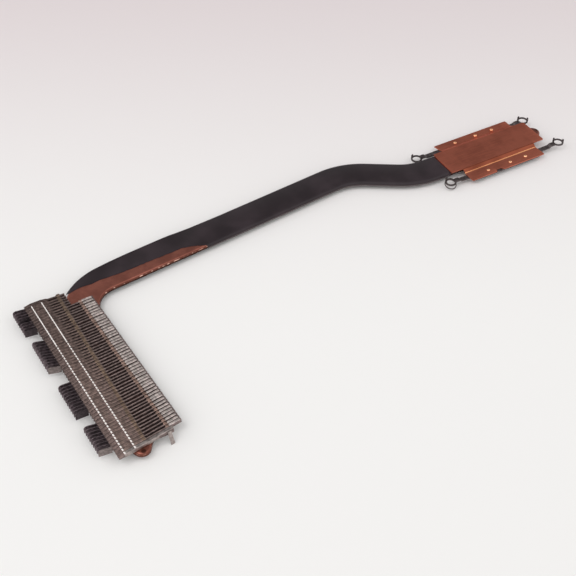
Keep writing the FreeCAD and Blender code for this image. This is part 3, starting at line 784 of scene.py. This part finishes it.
        base = lay_row(bm, [(x, half, level(lip, x)) for x in stations])
        if not closed:
            lower = [line for line in base if min(vert.co.x for vert in line.verts) > self.flange_from]
            draw_out(bm, lower, lambda co: (co.x, settings.fin_pitch - self.flange_gap, co.z))
        row = base
        for out, drop in self.shoulder:
            row = draw_out(bm, row, lambda co, out=out, drop=drop: (co.x, half + out, top(co.x) - drop))
        start = half + self.flat_from
        for part, drop in self.flat:
            row = draw_out(bm, row, lambda co, part=part, drop=drop: (
                co.x, start + (edge(co.x) - start) * part, top(co.x) - drop))
        for face in bm.faces:
            if face not in faces:
                face.material_index = self.pick_sheet(face, closed, share)
        if closed:
            self.add_leg(bm)

    def pick_sheet(self, face, closed, share):
        """The place in the list of sheets for a face of a fin."""
        middle = face.calc_center_median()
        if middle.z < self.web_top:
            return self.WEB
        low, high = self.spot_whole if share > self.rubbed_from else self.spot_broken
        # Faces on the creases get the pale metal as painted highlight.
        rubbed = share < self.rubbed_to and low < middle.y < high
        if rubbed and any(abs(middle.x - crease) < self.spot_half for crease in self.creases):
            return self.CREASE
        # On the last fins the creases get the brow's dark colour, a painted shade, in place of a
        # highlight.
        if share > self.rubbed_to and middle.x < self.bands[1][0]:
            return self.BROW
        if closed and middle.x > self.light_from:
            return self.END
        if middle.y < self.web_side:
            return self.WEB
        for end, sheet in self.bands:
            if middle.x < end:
                return sheet
        return self.WEB

    def add_tab(self, bm, sweep, settings, sheet):
        """The exhaust tab, rounded at its upper outer corner."""
        out = Vector((-math.cos(sweep), math.sin(sweep), 0.0)) * self.tab_length
        foot = Vector((0.0, settings.fin_sheet / 2, 0.0))
        corners = [foot + Vector((0, 0, self.tab_low)), foot + Vector((0, 0, self.tab_high)),
                   foot + out + Vector((0, 0, self.tab_high)), foot + out + Vector((0, 0, self.tab_low))]
        verts = [bm.verts.new(corner) for corner in corners]
        face = bm.faces.new(verts)
        face.material_index = sheet
        bmesh.ops.bevel(bm, geom=[verts[2]], offset=self.tab_round, offset_type="OFFSET", segments=4,
                        profile=0.5, affect="VERTICES", material=-1)

    def add_leg(self, bm):
        """The leg splayed down from the end fin."""
        before = set(bm.faces)
        sides = (self.leg_x - self.leg_width / 2, self.leg_x + self.leg_width / 2)
        edges = lay_row(bm, [(x, *self.leg_top) for x in sides])
        draw_out(bm, edges, lambda co: (co.x, *self.leg_foot))
        for face in bm.faces:
            if face not in before:
                face.material_index = self.END


class HEATSINK_OT_stage(bpy.types.Operator):
    """Set the floor, the light and the camera"""
    bl_idname = "heatsink.stage"
    bl_label = "Stage"

    # Half the width of the floor, the way to its back in plan, and where its colour fades along it,
    # darker towards the back as painted shade.
    floor_half, back, fade = 3.0, (0.487, 0.873), (-0.1, 0.17)
    # Light of the room, and where it dims around the way that flat tops mirror, as cosines.
    daylight, dim = (1.0, 0.99, 0.985), (0.55, 0.93)
    sensor = 36.0

    def execute(self, context):
        settings = context.scene.heatsink_stage
        self.lay_floor(context, settings)
        self.light(context, settings)
        self.set_camera(context, settings)
        context.scene.view_settings.view_transform = "Standard"
        return {"FINISHED"}

    def lay_floor(self, context, settings):
        mesh = bpy.data.meshes.new("floor")
        bm = bmesh.new()
        bmesh.ops.create_grid(bm, x_segments=1, y_segments=1, size=self.floor_half)
        bm.to_mesh(mesh)
        bm.free()
        floor = bpy.data.objects.new("floor", mesh)
        context.scene.collection.objects.link(floor)
        material, tree, shader = new_tree("table top")
        _, axes = add_place(tree)
        along, across = (add_math(tree, "MULTIPLY", axes[i], self.back[i]) for i in range(2))
        # Painted shade: the table darkens towards the back.
        share = add_range(tree, add_math(tree, "ADD", along, across), *self.fade)
        tone = add_mix(tree, share, rgb(settings.floor_near), rgb(settings.floor_far))
        feed(tree, shader.inputs["Base Color"], tone)
        shader.inputs["Roughness"].default_value = 0.7
        mesh.materials.append(material)

    def light(self, context, settings):
        world = bpy.data.worlds.new("studio")
        world.use_nodes = True
        tree = world.node_tree
        way = Vector(settings.camera_way).normalized()
        mirrored = tree.nodes.new("ShaderNodeVectorMath")
        mirrored.operation = "DOT_PRODUCT"
        place = tree.nodes.new("ShaderNodeTexCoord")
        tree.links.new(place.outputs["Generated"], mirrored.inputs[0])
        mirrored.inputs[1].default_value = (way.x, way.y, -way.z)
        strength = add_range(
            tree, mirrored.outputs["Value"], *self.dim, settings.ambient, settings.shade)
        room = tree.nodes["Background"]
        room.inputs["Color"].default_value = rgb(self.daylight)
        feed(tree, room.inputs["Strength"], strength)
        context.scene.world = world
        lamp_data = bpy.data.lights.new("soft_lamp", "AREA")
        lamp_data.shape = "DISK"
        lamp_data.size = settings.lamp_size
        lamp_data.energy = settings.lamp_power
        lamp = bpy.data.objects.new("soft_lamp", lamp_data)
        lamp.location = settings.lamp_place
        target = (Vector(CAD_BOX[0]) + Vector(CAD_BOX[1])) / 2
        lamp.rotation_euler = (target - lamp.location).to_track_quat("-Z", "Y").to_euler()
        context.scene.collection.objects.link(lamp)

    def set_camera(self, context, settings):
        camera_data = bpy.data.cameras.new("photo_view")
        camera_data.lens = settings.lens
        camera_data.sensor_width = self.sensor
        camera_data.clip_start = 0.01
        camera = bpy.data.objects.new("photo_view", camera_data)
        camera.location = settings.camera_place
        camera.rotation_euler = Vector(settings.camera_way).to_track_quat("-Z", "Y").to_euler()
        context.scene.collection.objects.link(camera)
        context.scene.camera = camera


class HEATSINK_PT_panel(bpy.types.Panel):
    """Steps and settings of the heatsink"""
    bl_idname = "HEATSINK_PT_panel"
    bl_label = "Heatsink"
    bl_space_type = "VIEW_3D"
    bl_region_type = "UI"
    bl_category = "Heatsink"

    def draw(self, context):
        for step in STEPS:
            self.layout.operator(step.bl_idname)
        scene = context.scene
        for settings in (scene.heatsink_colours, scene.heatsink_sheets, scene.heatsink_stage):
            box = self.layout.box()
            for name in settings.__annotations__:
                box.prop(settings, name)


STEPS = (
    HEATSINK_OT_metals, HEATSINK_OT_film, HEATSINK_OT_plate, HEATSINK_OT_rivets, HEATSINK_OT_fins,
    HEATSINK_OT_stage,
)
CLASSES = (HeatsinkColours, HeatsinkSheets, HeatsinkStage) + STEPS + (HEATSINK_PT_panel,)


def register():
    for each in CLASSES:
        bpy.utils.register_class(each)
    bpy.types.Scene.heatsink_colours = PointerProperty(type=HeatsinkColours)
    bpy.types.Scene.heatsink_sheets = PointerProperty(type=HeatsinkSheets)
    bpy.types.Scene.heatsink_stage = PointerProperty(type=HeatsinkStage)


def unregister():
    del bpy.types.Scene.heatsink_stage
    del bpy.types.Scene.heatsink_sheets
    del bpy.types.Scene.heatsink_colours
    for each in reversed(CLASSES):
        bpy.utils.unregister_class(each)


def main():
    register()
    bpy.ops.heatsink.metals()
    bpy.ops.heatsink.film()
    bpy.ops.heatsink.plate()
    bpy.ops.heatsink.rivets()
    bpy.ops.heatsink.fins()
    bpy.ops.heatsink.stage()


if __name__ == "__main__":
    main()
